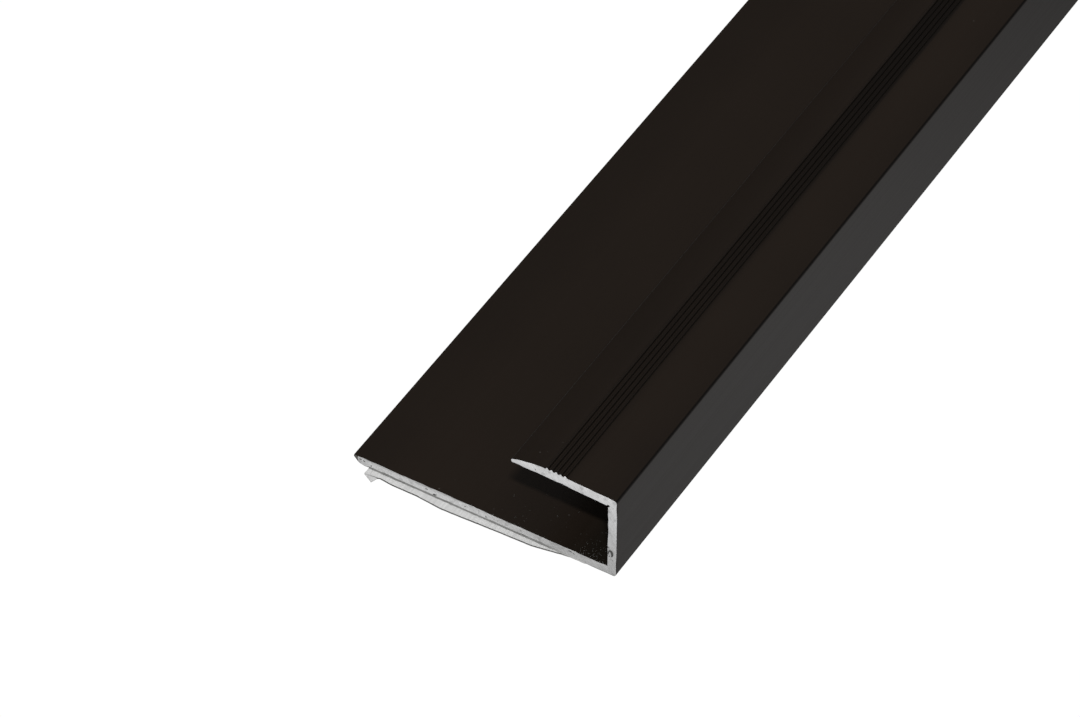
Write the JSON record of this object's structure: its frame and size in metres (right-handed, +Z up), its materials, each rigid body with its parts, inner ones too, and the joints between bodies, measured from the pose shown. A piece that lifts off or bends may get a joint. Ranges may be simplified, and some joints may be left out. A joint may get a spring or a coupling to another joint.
{
  "type": "aluminium extrusion profile",
  "caption": "Dark bronze square-edge aluminium floor trim with a ribbed top lip over a channel, and a lined self-adhesive tape on its underside.",
  "frame": {"origin": "centre of the footprint on the floor, under the release liner", "axes": "+X across the section from the flange's free edge to the web, +Y along the length, +Z up from the flange to the lip"},
  "size_m": [0.03, 0.903, 0.0113],
  "materials": {
    "bronze_anodised": "satin",
    "adhesive": "matte",
    "liner_paper": "matte"
  },
  "bodies": {
    "root": {"edge_profile": "bronze_anodised", "adhesive_tape": "adhesive", "release_liner": "liner_paper"}
  },
  "joints": []
}
